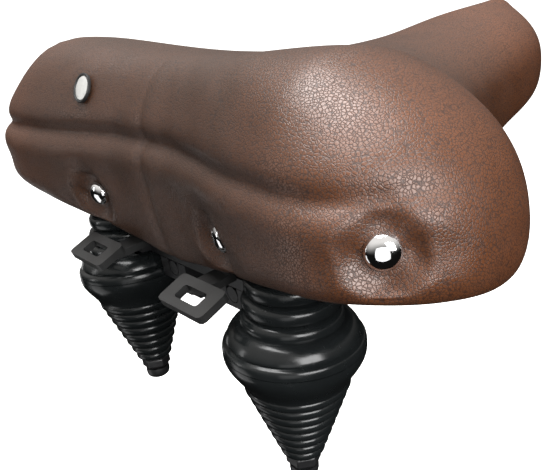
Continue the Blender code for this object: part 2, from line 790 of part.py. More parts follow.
def cone_inside(height):
    """The inner radius of the cone's stepped part."""
    share = (height - FOOT) / (CONE_SHOULDER - FOOT)
    return CONE_LAST_RING - BOOT_WALL + (CONE_FIRST_RING - CONE_LAST_RING - 0.0010) * share


def make_cone(word, axis):
    """The stepped rubber cone round the coil, from the rim down to the collar."""
    rings = 7
    outer = [(BOOT_RADIUS, 0.0), (BOOT_RADIUS, -0.0042), (BOOT_RADIUS - 0.0035, -0.0085)]
    for i in range(rings):
        share = i / (rings - 1)
        radius = CONE_FIRST_RING + (CONE_LAST_RING - CONE_FIRST_RING) * share
        height = CONE_SHOULDER + (FOOT + 0.0032 - CONE_SHOULDER) * share
        outer += [(radius, height), (radius - 0.0008, height - 0.0026)]
    outer[-1] = (CONE_LAST_RING - 0.0004, FOOT)
    inner = [
        (cone_inside(FOOT), FOOT),
        (cone_inside(CONE_SHOULDER), CONE_SHOULDER),
        (BOOT_RADIUS - BOOT_WALL - 0.0006, -0.0060),
        (BOOT_RADIUS - BOOT_WALL, 0.0),
    ]
    smooth_faces(turned(f"{word}_boot_cone", outer + inner, "boot_rubber", axis))


def make_coil(word, axis):
    """A conical spring from the seat down to the foot washer, clear of the cone's inside."""
    top = SEAT_TOP - SEAT_THICKNESS - COIL_WIRE / 2 - GAP
    foot = FOOT + 0.0012 + COIL_WIRE / 2 + GAP
    per_turn = 12
    count = int(COIL_TURNS * per_turn) + 1
    curve = bpy.data.curves.new(f"{word}_coil_spring", "CURVE")
    curve.dimensions = "3D"
    curve.bevel_depth = COIL_WIRE / 2
    curve.bevel_resolution = 2
    curve.use_fill_caps = True
    spline = curve.splines.new("POLY")
    spline.points.add(count - 1)
    for i in range(count):
        turn = 2 * math.pi * i / per_turn
        height = top + (foot - top) * i / (count - 1)
        radius = min(COIL_TOP_RADIUS, cone_inside(height) - COIL_WIRE / 2 - 0.0005)
        spline.points[i].co = (radius * math.cos(turn), radius * math.sin(turn), height, 1)
    place(f"{word}_coil_spring", curve, "zinc_steel", axis)


def make_bolt(word, axis):
    """The long bolt: its head on the yoke's washer, its thread down to the end nut."""
    washer_top = YOKE_LOCAL + YOKE_THICKNESS / 2 + GAP + BOLT_WASHER_THICKNESS
    seat = washer_top + GAP
    end = FOOT - COLLAR_LENGTH - END_NUT_LENGTH * 0.55
    profile = (
        (0, seat + BOLT_HEAD_HEIGHT),
        (BOLT_HEAD_RADIUS * 0.7, seat + BOLT_HEAD_HEIGHT),
        (BOLT_HEAD_RADIUS, seat + BOLT_HEAD_HEIGHT * 0.5),
        (BOLT_HEAD_RADIUS, seat),
        (BOLT_RADIUS, seat),
        (BOLT_RADIUS, end),
        (0, end),
    )
    turned(f"{word}_spring_bolt", profile, "zinc_steel", axis, steps=SMALL_STEPS, ring=False)
    bore = BOLT_RADIUS + GAP
    ring = (
        (0.0062, washer_top),
        (0.0062, washer_top - BOLT_WASHER_THICKNESS),
        (bore, washer_top - BOLT_WASHER_THICKNESS),
        (bore, washer_top),
    )
    turned(f"{word}_bolt_washer", ring, "zinc_steel", axis, steps=SMALL_STEPS)
    foot_radius = cone_inside(FOOT) - GAP
    foot = ((foot_radius, FOOT + 0.0012), (foot_radius, FOOT), (bore, FOOT), (bore, FOOT + 0.0012))
    turned(f"{word}_foot_washer", foot, "zinc_steel", axis, steps=SMALL_STEPS)


def make_collar_and_nut(word, axis):
    collar = rod_shape(COLLAR_RADIUS, COLLAR_LENGTH - GAP, 6)
    piece = place(
        f"{word}_foot_collar", mesh_from(collar, "collar"), "black_steel", axis,
        (0, 0, FOOT - GAP - (COLLAR_LENGTH - GAP) / 2),
    )
    drill = cutter(f"{word}_collar_bore", rod_shape(BOLT_RADIUS + GAP, 0.03), axis, (0, 0, FOOT))
    combine(piece, drill, "DIFFERENCE")
    top = FOOT - COLLAR_LENGTH - GAP
    bore = BOLT_RADIUS + GAP
    blind = FOOT - COLLAR_LENGTH - END_NUT_LENGTH * 0.55 - GAP
    profile = (
        (END_NUT_RADIUS, top),
        (END_NUT_RADIUS, top - END_NUT_LENGTH * 0.55),
        (END_NUT_RADIUS * 0.72, top - END_NUT_LENGTH * 0.88),
        (0, top - END_NUT_LENGTH),
    )
    hollow = ((0, blind), (bore, blind), (bore, top))
    turned(
        f"{word}_end_nut", profile + hollow, "black_steel", axis, steps=SMALL_STEPS
    )


def make_springs():
    for side, word in ((-1, "left"), (1, "right")):
        axis = frame_empty(
            f"{word}_spring_axis", (side * SPRING_SPACING / 2, -SPRING_BACK, RIM_HEIGHT), lean(side)
        )
        bpy.context.view_layer.update()
        make_sleeve(word, side, axis)
        make_dome(word, axis)
        make_seat(word, axis)
        make_bumper(word, axis)
        make_cone(word, axis)
        make_coil(word, axis)
        make_bolt(word, axis)
        make_collar_and_nut(word, axis)


# ---------------------------------------------------------------- the frame
def pivot_y():
    return NOSE_REACH - PIVOT_SETBACK


def rail_path(side):
    """A rail's centre line: straight through the clamp, then up and in to the nose bracket."""
    half, nose_half = RAIL_SPACING / 2, RAIL_NOSE_SPACING / 2
    tip = pivot_y() - PIN_RADIUS - 0.004
    bend_start = CLAMP_ZONE / 2
    run = tip - bend_start
    knots = (0.0, 0.0001, 0.28, 0.62, 0.86, 1.0)
    across = (half, half, half - 0.0006, half - 0.0085, nose_half, nose_half)
    height = (0, 0, 0.0012, 0.0130, PIVOT_HEIGHT, PIVOT_HEIGHT)
    rear_end = axis_point(1, YOKE_LOCAL).y + YOKE_FORWARD - YOKE_WIDTH / 2
    points = [Vector((side * half, rear_end, 0))]
    points.append(Vector((side * half, bend_start, 0)))
    count = 14
    for i in range(1, count + 1):
        share = i / count
        points.append(
            Vector((
                side * smooth_curve(knots, across, share),
                bend_start + run * share,
                min(smooth_curve(knots, height, share), PIVOT_HEIGHT),
            ))
        )
    return points


def make_rails():
    for side, word in ((-1, "left"), (1, "right")):
        curve = bpy.data.curves.new(f"{word}_rail", "CURVE")
        curve.dimensions = "3D"
        curve.bevel_depth = RAIL_DIAMETER / 2
        curve.bevel_resolution = 3
        curve.use_fill_caps = True
        spline = curve.splines.new("POLY")
        path = rail_path(side)
        spline.points.add(len(path) - 1)
        for point, where in zip(spline.points, path):
            point.co = (*where, 1)
        place(f"{word}_rail", curve, "black_steel")


def make_bracket():
    """The block that holds both rails' front ends and carries the pivot pin."""
    y = pivot_y()
    shape = box_shape((BRACKET_WIDTH, BRACKET_LENGTH, BRACKET_HEIGHT))
    bracket = place(
        "nose_bracket", mesh_from(shape, "nose_bracket"), "black_steel", None,
        (0, y + 0.007 - BRACKET_LENGTH / 2, PIVOT_HEIGHT),
    )
    edge = bracket.modifiers.new("edges", "BEVEL")
    edge.width = 0.001
    edge.segments = 1
    for side, word in ((-1, "left"), (1, "right")):
        depth = 0.040
        hole = rod_shape(RAIL_DIAMETER / 2 + GAP, depth, 16)
        mouth = y - PIN_RADIUS - 0.004 + GAP
        drill = cutter(
            f"{word}_rail_socket", hole, None,
            (side * RAIL_NOSE_SPACING / 2, mouth - depth / 2, PIVOT_HEIGHT), (math.pi / 2, 0, 0),
        )
        combine(bracket, drill, "DIFFERENCE")
    drill = cutter(
        "pin_bore", rod_shape(PIN_RADIUS + PIVOT_CLEARANCE, 0.08, 16), None, (0, y, PIVOT_HEIGHT), (0, math.pi / 2, 0)
    )
    combine(bracket, drill, "DIFFERENCE")
    return drill


def make_hanger(drill):
    """The folded plate screwed under the base shell's nose, with a lug each side of the bracket."""
    y = pivot_y()
    outside = BRACKET_WIDTH + 2 * (GAP + LUG_THICKNESS)
    top = floor_height(stretched(0.2)) - GAP
    low = PIVOT_HEIGHT - 0.006
    length = 0.020
    body = box_shape((outside, length, top - low), (0, y - 0.003, (top + low) / 2))
    hanger = place("nose_hanger", mesh_from(body, "nose_hanger"), "black_steel")
    inside = BRACKET_WIDTH + 2 * GAP
    room = box_shape((inside, 0.05, top - low), (0, y, (top + low) / 2 - LUG_THICKNESS))
    combine(hanger, cutter("hanger_room", room), "DIFFERENCE")
    combine(hanger, drill, "DIFFERENCE")
    for word, dx in (("left", -0.0065), ("right", 0.0065)):
        where = (dx, y - 0.003, top - LUG_THICKNESS)
        hole = cutter(f"hanger_{word}_hole", rod_shape(SCREW_RADIUS + GAP, 0.02, 8), None, where)
        combine(hanger, hole, "DIFFERENCE")
        combine(bpy.data.objects["base_shell"], hole, "DIFFERENCE")
        add_screw(f"hanger_screw_{word}", LUG_THICKNESS + BASE_WALL, where, (0, 0, -1))
    half = outside / 2
    reach = half + 0.0012
    profile = (
        (0, reach),
        (PIN_RADIUS, reach),
        (PIN_RADIUS, -half - GAP),
        (PIN_RADIUS + 0.0012, -half - GAP),
        (PIN_RADIUS + 0.0012, -reach - 0.0006),
        (0, -reach - 0.0006),
    )
    turned(
        "pivot_pin", profile, "zinc_steel", None, (0, y, PIVOT_HEIGHT), (0, math.pi / 2, 0),
        steps=16, ring=False,
    )


def make_yoke():
    """The cross bar on the rails, with an eye at each end for a spring's bolt."""
    ends = axis_point(1, YOKE_LOCAL)
    span = 2 * (ends.x - 0.0185)
    middle_y = ends.y + YOKE_FORWARD
    shape = box_shape((span, YOKE_WIDTH, YOKE_THICKNESS), (0, middle_y, YOKE_LEVEL))
    yoke = place("rear_yoke", mesh_from(shape, "rear_yoke"), "black_steel")
    for side, word in ((-1, "left"), (1, "right")):
        axis = bpy.data.objects[f"{word}_spring_axis"]
        eye = box_shape((0.0285, YOKE_WIDTH, YOKE_THICKNESS), (-side * 0.00725, 0, YOKE_LOCAL))
        combine(yoke, cutter(f"{word}_eye", eye, axis), "UNION")
        bore = rod_shape(YOKE_EYE_RADIUS, 0.03, SMALL_STEPS)
        combine(yoke, cutter(f"{word}_eye_bore", bore, axis, (0, 0, YOKE_LOCAL)), "DIFFERENCE")
        make_strap(yoke, side, word, middle_y)


def make_strap(yoke, side, word, y):
    """The strap that grips a rail's end against the yoke, with a screw on each side of the rail."""
    half = RAIL_DIAMETER / 2
    thickness = 0.0022
    width = RAIL_DIAMETER + 0.013
    top = YOKE_UNDER - GAP
    low = -half - GAP - thickness
    x = side * RAIL_SPACING / 2
    shape = box_shape((width, STRAP_LENGTH, top - low), (x, y, (top + low) / 2))
    strap = place(f"{word}_rail_strap", mesh_from(shape, "strap"), "black_steel")
    groove = cutter(
        f"{word}_strap_groove", rod_shape(half + GAP, 0.03, 16), None, (x, y, 0), (math.pi / 2, 0, 0)
    )
    combine(strap, groove, "DIFFERENCE")
    opened = cutter(
        f"{word}_strap_mouth",
        box_shape((2 * (half + GAP), 0.03, half + 0.001), (x, y, (half + 0.001) / 2)),
    )
    combine(strap, opened, "DIFFERENCE")
    for place_word, dx in (("inner", -side), ("outer", side)):
        where = (x + dx * (half + 0.0038), y, low)
        hole = cutter(f"{word}_strap_{place_word}_hole", rod_shape(SCREW_RADIUS + GAP, 0.04, 8), None, where)
        combine(strap, hole, "DIFFERENCE")
        combine(yoke, hole, "DIFFERENCE")
        add_screw(
            f"{word}_strap_screw_{place_word}", top - low + GAP + YOKE_THICKNESS, where, (0, 0, -1)
        )


# ---------------------------------------------------------------- the bag loops
def make_loops():
    """The base shell's bag loops: each a tilted plate with a window for a bag's strap, on a tongue that
    runs under the folded cover and up through a slot in it to the wall."""
    shell = bpy.data.objects["base_shell"]
    edge = outline(LOOP_HEADING).y
    rear = edge - LOOP_OVERHANG
    tilt = math.radians(LOOP_TILT)
    tongue_top = station(3, 20.0) - 0.0014
    rear_top = tongue_top - 0.001
    tongue_back = rear + LOOP_BORDER + LOOP_WINDOW[1] + 0.0006
    wall = edge + station(6, LOOP_HEADING) + 0.0006
    riser_back = wall - 0.0026
    riser_top = station(3, 30.0) + COVER_THICKNESS + FOOT_GAP + 0.0008
    for side, word in ((-1, "left"), (1, "right")):
        seat = (side * (LOOP_INNER_EDGE + LOOP_WIDTH / 2), rear, rear_top)
        plate = box_shape(
            (LOOP_WIDTH, LOOP_LENGTH, LOOP_THICKNESS), (0, LOOP_LENGTH / 2, -LOOP_THICKNESS / 2)
        )
        round_corners(plate, 0.002)
        combine(shell, cutter(f"{word}_loop_plate", plate, None, seat, (tilt, 0, 0)), "UNION")
        middle = side * (LOOP_INNER_EDGE + 0.0025 + TONGUE_WIDTH / 2)
        low = tongue_top - TONGUE_THICKNESS
        tongue = box_shape(
            (TONGUE_WIDTH, wall - tongue_back, TONGUE_THICKNESS),
            (middle, (wall + tongue_back) / 2, tongue_top - TONGUE_THICKNESS / 2),
        )
        combine(shell, cutter(f"{word}_loop_tongue", tongue), "UNION")
        riser = box_shape(
            (TONGUE_WIDTH, wall - riser_back, riser_top - low - 0.0002),
            (middle, (wall + riser_back) / 2, (riser_top + low + 0.0002) / 2),
        )
        combine(shell, cutter(f"{word}_loop_riser", riser), "UNION")
        window = box_shape((*LOOP_WINDOW, 0.03), (0, LOOP_BORDER + LOOP_WINDOW[1] / 2, 0))
        round_corners(window, 0.0012)
        combine(shell, cutter(f"{word}_loop_window", window, None, seat, (tilt, 0, 0)), "DIFFERENCE")
        slot = box_shape(
            (TONGUE_WIDTH + 2 * GAP, wall - riser_back + 2 * GAP, riser_top - low + 2 * GAP),
            (middle, (wall + riser_back) / 2, (riser_top + low) / 2),
        )
        slot_cutter = cutter(f"{word}_loop_slot", slot)
        combine(bpy.data.objects["cover"], slot_cutter, "DIFFERENCE")
        combine(bpy.data.objects["foam_pad"], slot_cutter, "DIFFERENCE")


make_cover()
make_foam()
make_base_shell()
make_rivets([bpy.data.objects[name] for name in ("cover", "foam_pad", "base_shell")])
make_badge()
make_springs()
make_rails()
make_hanger(make_bracket())
make_yoke()
make_loops()
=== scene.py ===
"""Looks for the sprung saddle: the padded cover, the rubber boots and the trim, built in the CAD's frame."""

import math

import bmesh
import bpy
import numpy as np
from mathutils import Matrix, Vector
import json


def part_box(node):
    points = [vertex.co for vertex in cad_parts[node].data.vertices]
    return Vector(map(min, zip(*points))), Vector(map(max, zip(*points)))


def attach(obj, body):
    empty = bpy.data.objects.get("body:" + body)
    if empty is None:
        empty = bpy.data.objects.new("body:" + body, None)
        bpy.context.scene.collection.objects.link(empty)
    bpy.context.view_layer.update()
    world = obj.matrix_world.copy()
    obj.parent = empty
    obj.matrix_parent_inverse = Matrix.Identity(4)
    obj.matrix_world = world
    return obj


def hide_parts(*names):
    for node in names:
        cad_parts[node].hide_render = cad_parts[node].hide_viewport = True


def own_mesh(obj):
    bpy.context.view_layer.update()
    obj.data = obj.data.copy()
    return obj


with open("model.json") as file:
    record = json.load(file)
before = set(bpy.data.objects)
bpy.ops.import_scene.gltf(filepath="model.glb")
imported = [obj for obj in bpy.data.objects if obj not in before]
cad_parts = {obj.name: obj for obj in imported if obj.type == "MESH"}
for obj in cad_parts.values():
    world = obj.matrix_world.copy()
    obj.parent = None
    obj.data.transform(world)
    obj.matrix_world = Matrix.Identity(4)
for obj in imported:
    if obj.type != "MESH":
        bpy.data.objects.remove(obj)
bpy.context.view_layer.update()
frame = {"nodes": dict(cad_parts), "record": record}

TOP, FRAME = "saddle_top", "frame"

# ---------------------------------------------------------------- the saddle's shape, as in the CAD
HUB_Y = -0.025
STATIONS = np.array((
    # heading radius  widest  lower  centre  tuck    wall inset
    (0, 0.0620, 0.038, 0.0145, -0.055, 0.0050, 0.0085),
    (24, 0.0705, 0.039, 0.0180, -0.053, 0.0055, 0.0093),
    (36, 0.0845, 0.040, 0.0225, -0.050, 0.0060, 0.0095),
    (48, 0.1105, 0.041, 0.0290, -0.046, 0.0070, 0.0100),
    (58, 0.1370, 0.042, 0.0330, -0.042, 0.0080, 0.0112),
    (70, 0.1465, 0.041, 0.0300, -0.035, 0.0080, 0.0120),
    (82, 0.1374, 0.040, 0.0230, -0.025, 0.0080, 0.0120),
    (96, 0.1145, 0.038, 0.0190, -0.013, 0.0080, 0.0110),
    (112, 0.0928, 0.039, 0.0170, 0.000, 0.0075, 0.0105),
    (130, 0.0850, 0.040, 0.0160, 0.017, 0.0070, 0.0100),
    (146, 0.0915, 0.042, 0.0170, 0.037, 0.0065, 0.0095),
    (158, 0.1140, 0.042, 0.0210, 0.063, 0.0060, 0.0090),
    (168, 0.1490, 0.043, 0.0260, 0.093, 0.0060, 0.0085),
    (180, 0.1725, 0.045, 0.0340, 0.123, 0.0060, 0.0085),
))
TOP_LINE = np.array((
    # along   height  cheek rise
    (-0.100, 0.0936, 0.0040),
    (-0.075, 0.0928, 0.0080),
    (-0.045, 0.0867, 0.0085),
    (-0.010, 0.0777, 0.0043),
    (0.025, 0.0708, 0.0010),
    (0.065, 0.0675, -0.0014),
    (0.105, 0.0695, -0.0025),
    (0.135, 0.0701, -0.0027),
    (0.161, 0.0709, -0.0026),
))
CHEEK_X = 0.065
ROUNDNESS = 2.3
CREASE_HEIGHT = 0.064
CREASE_FADES = (54.0, 78.0)
DIMPLE_DEPTH = 0.0055
RIVETS = (
    # name, heading, height
    ("left_inner_rivet", -34.0, 0.035),
    ("left_outer_rivet", -63.0, 0.050),
    ("right_inner_rivet", 34.0, 0.035),
    ("right_outer_rivet", 63.0, 0.050),
)
BASE_WALL = 0.0025
FOLDS = (
    # direction round a rivet (0 is away from the middle, 90 is up), depth, length
    (88, 0.0013, 0.022),
    (-92, 0.0012, 0.015),
    (-4, 0.0016, 0.027),
    (182, 0.0010, 0.022),
    (35, -0.0009, 0.021),
    (140, -0.0008, 0.020),
    (-48, -0.0005, 0.018),
)
CREASE_BANDS = (
    # depth (outwards is negative), height above the crease, spread
    (0.0026, 0.0, 0.0030),
    (-0.0014, -0.0085, 0.0060),
    (-0.0007, 0.0080, 0.0055),
)
DIMPLE_EDGES = (0.0056, 0.0152)       # where the dimple's floor ends and where it meets the surface
CAD_DIMPLE_EDGES = (0.0077, 0.0126)
BELOW_CAD_DIMPLE = 0.0011             # the cover may go this far below the CAD's dimple, to the foam
COVER_THICKNESS = 0.0017

# ---------------------------------------------------------------- the photograph's view and light
CAMERA_LENS = 51.55
CAMERA_AT = (0.261, -0.2127, 0.1383)
CAMERA_LOOK = (-0.7590, 0.5205, -0.3911)
CAMERA_UP = (-0.2056, 0.3784, 0.9025)
LAMPS = (
    # name, place, aim, size, power; the cards are dim, and the chrome rivets reflect them
    ("over", (0.02, -0.08, 0.85), (0.02, -0.04, 0.05), (0.55, 0.55), 15),
    ("right", (0.85, -0.25, 0.30), (0.08, -0.02, 0.05), (0.55, 0.50), 13),
    ("back_left", (-0.55, -0.80, 0.20), (-0.03, -0.05, 0.03), (0.10, 0.40), 0.8),
    ("card_behind", (0.69, -0.77, -0.04), (0.12, -0.09, 0.05), (0.5, 0.5), 1.1),
    ("card_below", (-0.21, -0.38, -0.19), (0.05, -0.09, 0.035), (0.22, 0.22), 0.20),
    ("card_left", (-0.52, -0.06, -0.12), (-0.05, -0.09, 0.035), (0.18, 0.18), 0.12),
)
FLOOR_HEIGHT = -0.30
FLOOR_REACH = 25.0
FLOOR_GLOW = 0.80


def smooth_curve(knots, values, at):
    """A smooth curve through the knots, with slopes from each point's neighbours."""
    at = np.asarray(at, float)
    slopes = np.gradient(values, knots)
    index = np.clip(np.searchsorted(knots, at, side="right") - 1, 0, len(knots) - 2)
    step = knots[index + 1] - knots[index]
    u = (at - knots[index]) / step
    return (
        (2 * u**3 - 3 * u**2 + 1) * values[index]
        + (u**3 - 2 * u**2 + u) * step * slopes[index]
        + (3 * u**2 - 2 * u**3) * values[index + 1]
        + (u**3 - u**2) * step * slopes[index + 1]
    )


def smooth_step(value, start, end):
    u = np.clip((value - start) / (end - start), 0.0, 1.0)
    return u * u * (3 - 2 * u)


def station(column, heading):
    turned_to = np.abs((np.asarray(heading, float) + 180.0) % 360.0 - 180.0)
    return smooth_curve(STATIONS[:, 0], STATIONS[:, column], turned_to)


def outline(heading):
    angle = np.radians(heading)
    radius = station(1, heading)
    return np.stack([radius * np.sin(angle), HUB_Y - radius * np.cos(angle)], axis=-1)


def inward(heading):
    along = outline(heading + 0.5) - outline(heading - 0.5)
    square = np.stack([-along[..., 1], along[..., 0]], axis=-1)
    return square / np.linalg.norm(square, axis=-1, keepdims=True)


def top_height(x, y):
    along = np.clip(y, TOP_LINE[0, 0], TOP_LINE[-1, 0])
    height = smooth_curve(TOP_LINE[:, 0], TOP_LINE[:, 1], along)
    rise = smooth_curve(TOP_LINE[:, 0], TOP_LINE[:, 2], along)
    return height + rise * np.minimum(np.abs(x) / CHEEK_X, 1.4) ** 2


def plain(heading, angle):
    """The surface before creases, for arrays of headings and of angles down from the centre line."""
    heading, angle = np.broadcast_arrays(np.asarray(heading, float), np.asarray(angle, float))
    edge = outline(heading)
    centre = np.stack([np.zeros_like(heading), station(4, heading)], axis=-1)
    widest = station(2, heading)
    turn = np.radians(np.clip(angle, 0, 90))
    share = np.sin(turn) ** (2 / ROUNDNESS)
    fall = np.clip(np.cos(turn), 0, 1) ** (2 / ROUNDNESS)
    plan = centre + (edge - centre) * share[..., None]
    z = widest + (top_height(plan[..., 0], plan[..., 1]) - widest) * fall
    under = np.radians(np.clip(angle - 90, 0, 90))
    plan = plan + inward(heading) * (station(5, heading) * (1 - np.cos(under)))[..., None]
    z = z + (station(3, heading) - widest) * np.sin(under)
    return np.concatenate([plan, z[..., None]], axis=-1)


def plain_normal(heading, angle):
    angle = np.clip(angle, 2.0, 179.5)
    across = plain(heading + 0.4, angle) - plain(heading - 0.4, angle)
    down = plain(heading, np.minimum(angle + 0.5, 180.0)) - plain(heading, angle - 0.5)
    out = np.cross(down, across)
    return out / np.linalg.norm(out, axis=-1, keepdims=True)


def angle_at_height(heading, height):
    angles = np.linspace(20, 180, 3201)
    heights = plain(np.full_like(angles, heading), angles)[:, 2]
    return float(angles[np.argmax(heights < height)])


def rivet_frame(heading, height):
    """The middle of a rivet's dimple on the plain surface, with the directions along, up and out of it."""
    angle = angle_at_height(heading, height)
    out = plain_normal(np.array(heading), np.array(angle))
    along = np.cross((0, 0, 1), out)
    along = along / np.linalg.norm(along)
    return plain(heading, angle), along, np.cross(out, along), out


# ---------------------------------------------------------------- camera, light and floor
def aim_camera():
    """The photograph's view: from behind on the rider's right and above, with a little roll."""
    camera = bpy.data.cameras.new("camera")
    camera.sensor_width = 36.0
    camera.lens = CAMERA_LENS
    camera.clip_start = 0.01
    seat = bpy.data.objects.new("camera", camera)
    bpy.context.scene.collection.objects.link(seat)
    look = Vector(CAMERA_LOOK).normalized()
    right = look.cross(Vector(CAMERA_UP)).normalized()
    turn = Matrix((right, right.cross(look), -look)).transposed()
    seat.matrix_world = Matrix.Translation(CAMERA_AT) @ turn.to_4x4()
    bpy.context.scene.camera = seat


def area_light(name, at, towards, size, power):
    lamp = bpy.data.lights.new(name, "AREA")
    lamp.shape = "RECTANGLE"
    lamp.size, lamp.size_y = size
    lamp.energy = power
    stand = bpy.data.objects.new(name, lamp)
    bpy.context.scene.collection.objects.link(stand)
    stand.location = at
    stand.visible_camera = False
    stand.rotation_euler = (Vector(at) - Vector(towards)).to_track_quat("Z", "Y").to_euler()


def light_studio():
    """Soft overhead and right-hand light, falling off towards a dim surround below the saddle."""
    world = bpy.data.worlds.new("studio")
    world.use_nodes = True
    tree = world.node_tree
    backdrop = tree.nodes["Background"]
    backdrop.inputs["Color"].default_value = (1, 0.97, 0.93, 1)
    direction = tree.nodes.new("ShaderNodeTexCoord")
    split = tree.nodes.new("ShaderNodeSeparateXYZ")
    ramp = tree.nodes.new("ShaderNodeMapRange")
    ramp.interpolation_type = "SMOOTHSTEP"
    for socket, value in (("From Min", -0.18), ("From Max", 0.75), ("To Min", 0.006), ("To Max", 0.95)):
        ramp.inputs[socket].default_value = value
    tree.links.new(direction.outputs["Generated"], split.inputs[0])
    tree.links.new(split.outputs["Z"], ramp.inputs["Value"])
    tree.links.new(ramp.outputs["Result"], backdrop.inputs["Strength"])
    bpy.context.scene.world = world
    for lamp in LAMPS:
        area_light(*lamp)
    bpy.context.scene.view_settings.view_transform = "Standard"


def lay_floor():
    """A wide white floor that glows a little and sends no light back to the saddle."""
    shape = bmesh.new()
    bmesh.ops.create_grid(shape, x_segments=1, y_segments=1, size=FLOOR_REACH)
    mesh = bpy.data.meshes.new("floor")
    shape.to_mesh(mesh)
    shape.free()
    floor = bpy.data.objects.new("floor", mesh)
    bpy.context.scene.collection.objects.link(floor)
    floor.location = (0, 0, FLOOR_HEIGHT)
    finish = bpy.data.materials.new("floor_white")
    finish.use_nodes = True
    shader = finish.node_tree.nodes["Principled BSDF"]
    shader.inputs["Base Color"].default_value = (0.9, 0.9, 0.9, 1)
    shader.inputs["Roughness"].default_value = 0.9
    shader.inputs["Emission Color"].default_value = (1, 1, 1, 1)
    shader.inputs["Emission Strength"].default_value = FLOOR_GLOW
    mesh.materials.append(finish)
    floor.visible_diffuse = False
    floor.visible_glossy = False


# ---------------------------------------------------------------- materials
class Finish:
    """A node-based material, built a node at a time."""

    def __init__(self, name, colour, roughness, metallic=0.0):
        self.material = bpy.data.materials.new(name)
        self.material.use_nodes = True
        self.tree = self.material.node_tree
        self.shader = self.tree.nodes["Principled BSDF"]
        self.shader.inputs["Base Color"].default_value = (*colour, 1)
        self.shader.inputs["Roughness"].default_value = roughness
        self.shader.inputs["Metallic"].default_value = metallic
        self.place = self.node("ShaderNodeTexCoord").outputs["Object"]

    def node(self, kind, **values):
        made = self.tree.nodes.new(kind)
        for key, value in values.items():
            setattr(made, key, value)
        return made

    def join(self, source, target):
        self.tree.links.new(source, target)

    def noise(self, scale, detail, rough):
        made = self.node("ShaderNodeTexNoise")
        made.inputs["Scale"].default_value = scale
        made.inputs["Detail"].default_value = detail
        made.inputs["Roughness"].default_value = rough
        self.join(self.place, made.inputs["Vector"])
        return made.outputs["Fac"]

    def cells(self, scale, feature, at=None):
        made = self.node("ShaderNodeTexVoronoi", feature=feature)
        made.inputs["Scale"].default_value = scale
        self.join(at or self.place, made.inputs["Vector"])
        return made.outputs["Distance"]

    def warped(self, scale, amount):
        """The object's coordinates, pushed about by noise, so that cells aren't regular."""
        push = self.node("ShaderNodeTexNoise")
        push.inputs["Scale"].default_value = scale
        self.join(self.place, push.inputs["Vector"])
        grow = self.node("ShaderNodeVectorMath", operation="SCALE")
        grow.inputs["Scale"].default_value = amount
        self.join(push.outputs["Color"], grow.inputs[0])
        add = self.node("ShaderNodeVectorMath", operation="ADD")
        self.join(self.place, add.inputs[0])
        self.join(grow.outputs["Vector"], add.inputs[1])
        return add.outputs["Vector"]

    def spread(self, source, low, high, to_low, to_high):
        made = self.node("ShaderNodeMapRange")
        made.inputs["From Min"].default_value = low
        made.inputs["From Max"].default_value = high
        made.inputs["To Min"].default_value = to_low
        made.inputs["To Max"].default_value = to_high
        self.join(source, made.inputs["Value"])
        return made.outputs["Result"]

    def maths(self, operation, first, second=None):
        made = self.node("ShaderNodeMath", operation=operation)
        for socket, value in zip(made.inputs, (first, second)):
            if value is None:
                continue
            if isinstance(value, (int, float)):
                socket.default_value = value
            else:
                self.join(value, socket)
        return made.outputs["Value"]

    def blend(self, share, first, second):
        """A mix of two colours, each of them a tuple or another node's output."""
        made = self.node("ShaderNodeMix", data_type="RGBA")
        self.join(share, made.inputs[0])
        for socket, value in ((made.inputs[6], first), (made.inputs[7], second)):
            if isinstance(value, tuple):
                socket.default_value = (*value, 1)
            else:
                self.join(value, socket)
        return made.outputs[2]

    def bump(self, height, strength, distance, under=None):
        made = self.node("ShaderNodeBump")
        made.inputs["Strength"].default_value = strength
        made.inputs["Distance"].default_value = distance
        self.join(height, made.inputs["Height"])
        if under:
            self.join(under, made.inputs["Normal"])
        return made.outputs["Normal"]

    def drive(self, socket, source):
        self.join(source, self.shader.inputs[socket])


def leatherette():
    """Pebble-grained faux leather, with painted shade in the grain's valleys and a painted warmer, lighter
    brown towards the outer cheeks and the nose, where those zones catch the light.
    """
    finish = Finish("leatherette_grain", (0.05, 0.018, 0.010), 0.4)
    wander = finish.warped(140, 0.0011)
    grain = finish.cells(980, "DISTANCE_TO_EDGE", wander)
    pebble = finish.spread(grain, 0.0, 0.16, 0.0, 1.0)
    split = finish.node("ShaderNodeSeparateXYZ")
    finish.join(finish.place, split.inputs[0])
    # painted light: the brown is warmer and lighter towards the outer cheeks and the nose, where they catch
    # the light; the noise over it is random tone
    out = finish.spread(finish.maths("ABSOLUTE", split.outputs["X"]), 0.062, 0.135, 0.0, 0.75)
    painted_nose_light = finish.spread(split.outputs["Y"], 0.02, 0.135, 0.0, 1.0)
    cloud = finish.noise(16, 4, 0.6)
    painted_light_and_tone = finish.maths("MAXIMUM", out, painted_nose_light)
    painted_light_and_tone = finish.maths("MULTIPLY", painted_light_and_tone, finish.spread(cloud, 0.3, 0.7, 0.55, 1.15))
    painted_light_and_tone = finish.maths("ADD", painted_light_and_tone, finish.spread(finish.noise(45, 3, 0.6), 0.35, 0.75, 0.0, 0.16))
    colour = finish.blend(painted_light_and_tone, (0.040, 0.0155, 0.0062), (0.112, 0.038, 0.0145))
    # painted shade: the grain's valleys are darkened towards a near black-brown
    colour = finish.blend(finish.spread(pebble, 0, 1, 0.85, 0.0), colour, (0.009, 0.0032, 0.0018))
    finish.drive("Base Color", colour)
    gloss = finish.spread(finish.noise(90, 3, 0.6), 0.3, 0.7, 0.33, 0.43)
    gloss = finish.maths("ADD", gloss, finish.spread(pebble, 0, 1, 0.22, 0.0))
    finish.drive("Roughness", gloss)
    fine = finish.bump(finish.noise(2600, 2, 0.5), 0.06, 0.0002)
    crumple = finish.bump(finish.noise(170, 3, 0.55), 0.14, 0.0010, fine)
    finish.drive("Normal", finish.bump(pebble, 0.30, 0.00028, crumple))
    finish.shader.inputs["Specular IOR Level"].default_value = 0.55
    return finish.material


